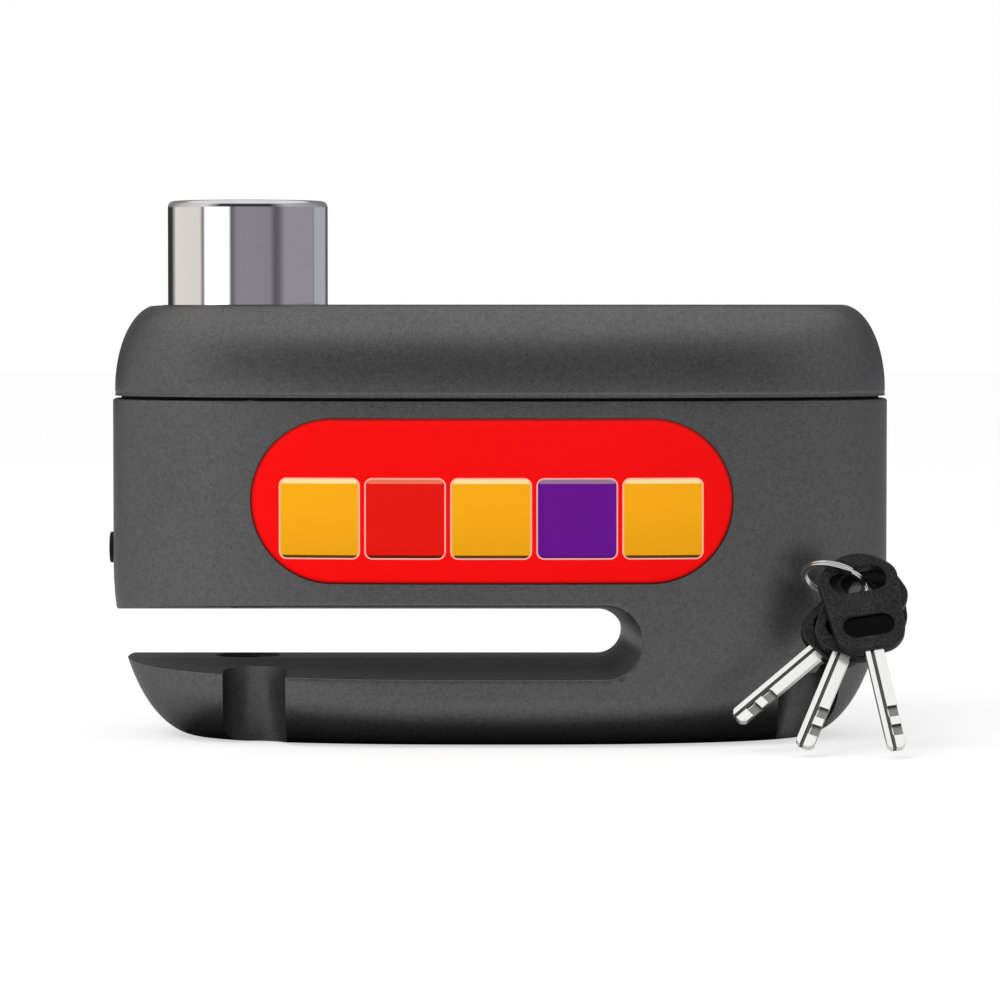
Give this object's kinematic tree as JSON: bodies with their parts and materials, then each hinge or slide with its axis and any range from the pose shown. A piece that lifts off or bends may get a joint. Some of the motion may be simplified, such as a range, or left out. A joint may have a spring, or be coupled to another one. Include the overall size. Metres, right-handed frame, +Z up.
{
  "type": "disc brake lock",
  "caption": "Motorcycle disc brake lock with siren: cast body with a disc slot and lower jaw, push-down key knob that drives a steel pin across the slot, and keys on a split ring.",
  "frame": {"origin": "centre of the flat base, under the middle of the body", "axes": "+Z up, +X along the body away from the knob, -Y towards the front with the label"},
  "size_m": [0.094, 0.0548, 0.0634],
  "materials": {
    "cast_paint": "fine satin powder coat",
    "rubber": "matte moulded rubber",
    "red_label": "printed film",
    "chrome": "polished",
    "steel": "ground",
    "cell_steel": "satin nickel",
    "brass": "turned",
    "black_plastic": "fine spark-eroded texture",
    "board": "green solder mask"
  },
  "bodies": {
    "lock_body": {"main_body": "cast_paint", "top_cover": "cast_paint", "cover_gasket": "rubber", "side_plug": "rubber", "knob_seal": "rubber", "label_plate": "red_label", "return_spring": "steel", "contact_bridge": "steel", "contact_spring_front": "steel", "contact_spring_back": "steel", "cover_screw_front_left": "steel", "cover_screw_back_left": "steel", "cover_screw_front_right": "steel", "cover_screw_back_right": "steel", "battery_cell_1": "cell_steel", "battery_cell_2": "cell_steel", "battery_cell_3": "cell_steel", "battery_cell_4": "cell_steel", "battery_cell_5": "cell_steel", "battery_cell_6": "cell_steel", "piezo_disc": "brass", "vibration_sensor": "brass", "battery_tray": "black_plastic", "battery_lid": "black_plastic", "control_chip": "black_plastic", "siren_housing": "black_plastic", "switch_body": "black_plastic", "circuit_board": "board"},
    "plunger": {"knob_barrel": "chrome", "locking_pin": "steel", "cross_pin": "steel", "snap_ring": "steel"},
    "cylinder": {"lock_core": "brass", "code_disc_1": "brass", "code_disc_2": "brass", "code_disc_3": "brass", "code_disc_4": "brass", "drive_cam": "steel"},
    "latch": {"latch_dog": "steel"},
    "switch_press": {"switch_button": "steel"},
    "key_bunch": {"key_ring": "chrome"},
    "key_right": {"key_head_right": "black_plastic", "key_blade_right": "chrome"},
    "key_middle": {"key_head_middle": "black_plastic", "key_blade_middle": "chrome"},
    "key_left": {"key_head_left": "black_plastic", "key_blade_left": "chrome"}
  },
  "joints": [
    {"name": "knob_push", "type": "slide", "parent": "lock_body", "child": "plunger", "axis": [0, 0, -1], "range_m": [0, 0.012], "stiffness_N_per_m": 250, "springref_m": -0.012, "deforming": ["return_spring"]},
    {"name": "core_turn", "type": "hinge", "parent": "plunger", "child": "cylinder", "pos_m": [-0.03, 0, 0.057], "axis": [0, 0, 1], "range_deg": [0, 90]},
    {"name": "latch_draw", "type": "slide", "parent": "plunger", "child": "latch", "axis": [-1, 0, 0], "range_m": [0, 0.002]},
    {"name": "button_press", "type": "slide", "parent": "lock_body", "child": "switch_press", "axis": [1, 0, 0], "range_m": [0, 0.00062]},
    {"name": "ring_lift", "type": "slide", "parent": "lock_body", "child": "key_bunch", "axis": [0, 0, 1], "range_m": [0, 0.05]},
    {"name": "key_right_swing", "type": "hinge", "parent": "key_bunch", "child": "key_right", "pos_m": [0.042, -0.02126, 0.01938], "axis": [0, -0.8387, 0.5446], "range_deg": [-9, 10]},
    {"name": "key_middle_swing", "type": "hinge", "parent": "key_bunch", "child": "key_middle", "pos_m": [0.042, -0.01975, 0.0184], "axis": [0, -0.8387, 0.5446], "range_deg": [-12, 6]},
    {"name": "key_left_swing", "type": "hinge", "parent": "key_bunch", "child": "key_left", "pos_m": [0.042, -0.01824, 0.01742], "axis": [0, -0.8387, 0.5446], "range_deg": [-12, 10]}
  ],
  "couplings": [
    {"joint": "latch_draw", "follows": "core_turn", "m_per_rad": 0.001273},
    {"joint": "button_press", "follows": "knob_push", "ratio": 0.05}
  ]
}
